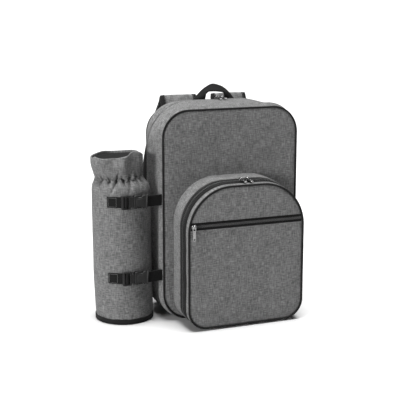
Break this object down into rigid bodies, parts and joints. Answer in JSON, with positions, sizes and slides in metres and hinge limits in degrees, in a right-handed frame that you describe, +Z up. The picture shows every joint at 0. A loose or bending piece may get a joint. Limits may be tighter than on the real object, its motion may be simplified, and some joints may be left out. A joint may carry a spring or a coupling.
{
  "type": "cooler backpack",
  "caption": "Insulated backpack with zipped main compartment and front pocket, a bottle holder buckled to its left side, a webbing handle and padded shoulder straps.",
  "frame": {"origin": "on the floor under the middle of the main compartment, on its flat bottom", "axes": "+Z up, -Y towards the front pocket, +Y towards the shoulder straps, the bottle holder on the -X side"},
  "size_m": [0.3783, 0.2559, 0.4218],
  "materials": {
    "cloth": "woven grey melange polyester",
    "webbing": "black polypropylene webbing",
    "binding": "black bias binding and piping",
    "zip_tape": "black woven zip tape",
    "plastic": "moulded black",
    "nickel": "nickel plated"
  },
  "bodies": {
    "backpack": {"main_front_shell": "cloth", "main_back_shell": "cloth", "main_front_piping": "binding", "main_back_piping": "binding", "main_zip": "zip_tape", "main_left_slider": "nickel", "main_right_slider": "nickel", "pocket_rear_gusset": "cloth", "pocket_zip": "zip_tape", "pocket_front_shell": "cloth", "pocket_piping": "binding", "pocket_front_zip": "zip_tape", "pocket_left_slider": "nickel", "pocket_right_slider": "nickel", "pocket_front_slider": "nickel", "carry_handle": "webbing", "shoulder_pad_left": "cloth", "shoulder_binding_left": "binding", "strap_adjuster_left": "plastic", "strap_webbing_left": "webbing", "shoulder_pad_right": "cloth", "shoulder_binding_right": "binding", "strap_adjuster_right": "plastic", "strap_webbing_right": "webbing", "bottle_holder": "cloth", "holder_bottom_binding": "binding", "holder_webbing_upper": "webbing", "buckle_ladder_upper": "plastic", "buckle_socket_upper": "plastic", "bag_webbing_upper": "webbing", "rear_webbing_upper": "webbing", "holder_webbing_lower": "webbing", "buckle_ladder_lower": "plastic", "buckle_socket_lower": "plastic", "bag_webbing_lower": "webbing", "rear_webbing_lower": "webbing"},
    "main_left_pull": {"main_left_tab": "nickel"},
    "main_right_pull": {"main_right_tab": "nickel"},
    "pocket_left_pull": {"pocket_left_tab": "nickel"},
    "pocket_right_pull": {"pocket_right_tab": "nickel"},
    "pocket_front_pull": {"pocket_front_tab": "nickel"}
  },
  "joints": [
    {"name": "main_left_tab_swing", "type": "hinge", "parent": "backpack", "child": "main_left_pull", "pos_m": [0.006, 0.02387, 0.3975], "axis": [-1, 0, 0], "range_deg": [0, 80]},
    {"name": "main_right_tab_swing", "type": "hinge", "parent": "backpack", "child": "main_right_pull", "pos_m": [0.0163, 0.02387, 0.3975], "axis": [-1, 0, 0], "range_deg": [0, 80]},
    {"name": "pocket_left_tab_swing", "type": "hinge", "parent": "backpack", "child": "pocket_left_pull", "pos_m": [-0.0024, -0.10838, 0.26609], "axis": [-1, 0, 0], "range_deg": [0, 150]},
    {"name": "pocket_right_tab_swing", "type": "hinge", "parent": "backpack", "child": "pocket_right_pull", "pos_m": [0.0103, -0.10838, 0.26609], "axis": [-1, 0, 0], "range_deg": [0, 150]},
    {"name": "pocket_front_tab_swing", "type": "hinge", "parent": "backpack", "child": "pocket_front_pull", "pos_m": [-0.102, -0.1382, 0.1914], "axis": [-1, 0, 0], "range_deg": [0, 150]}
  ]
}
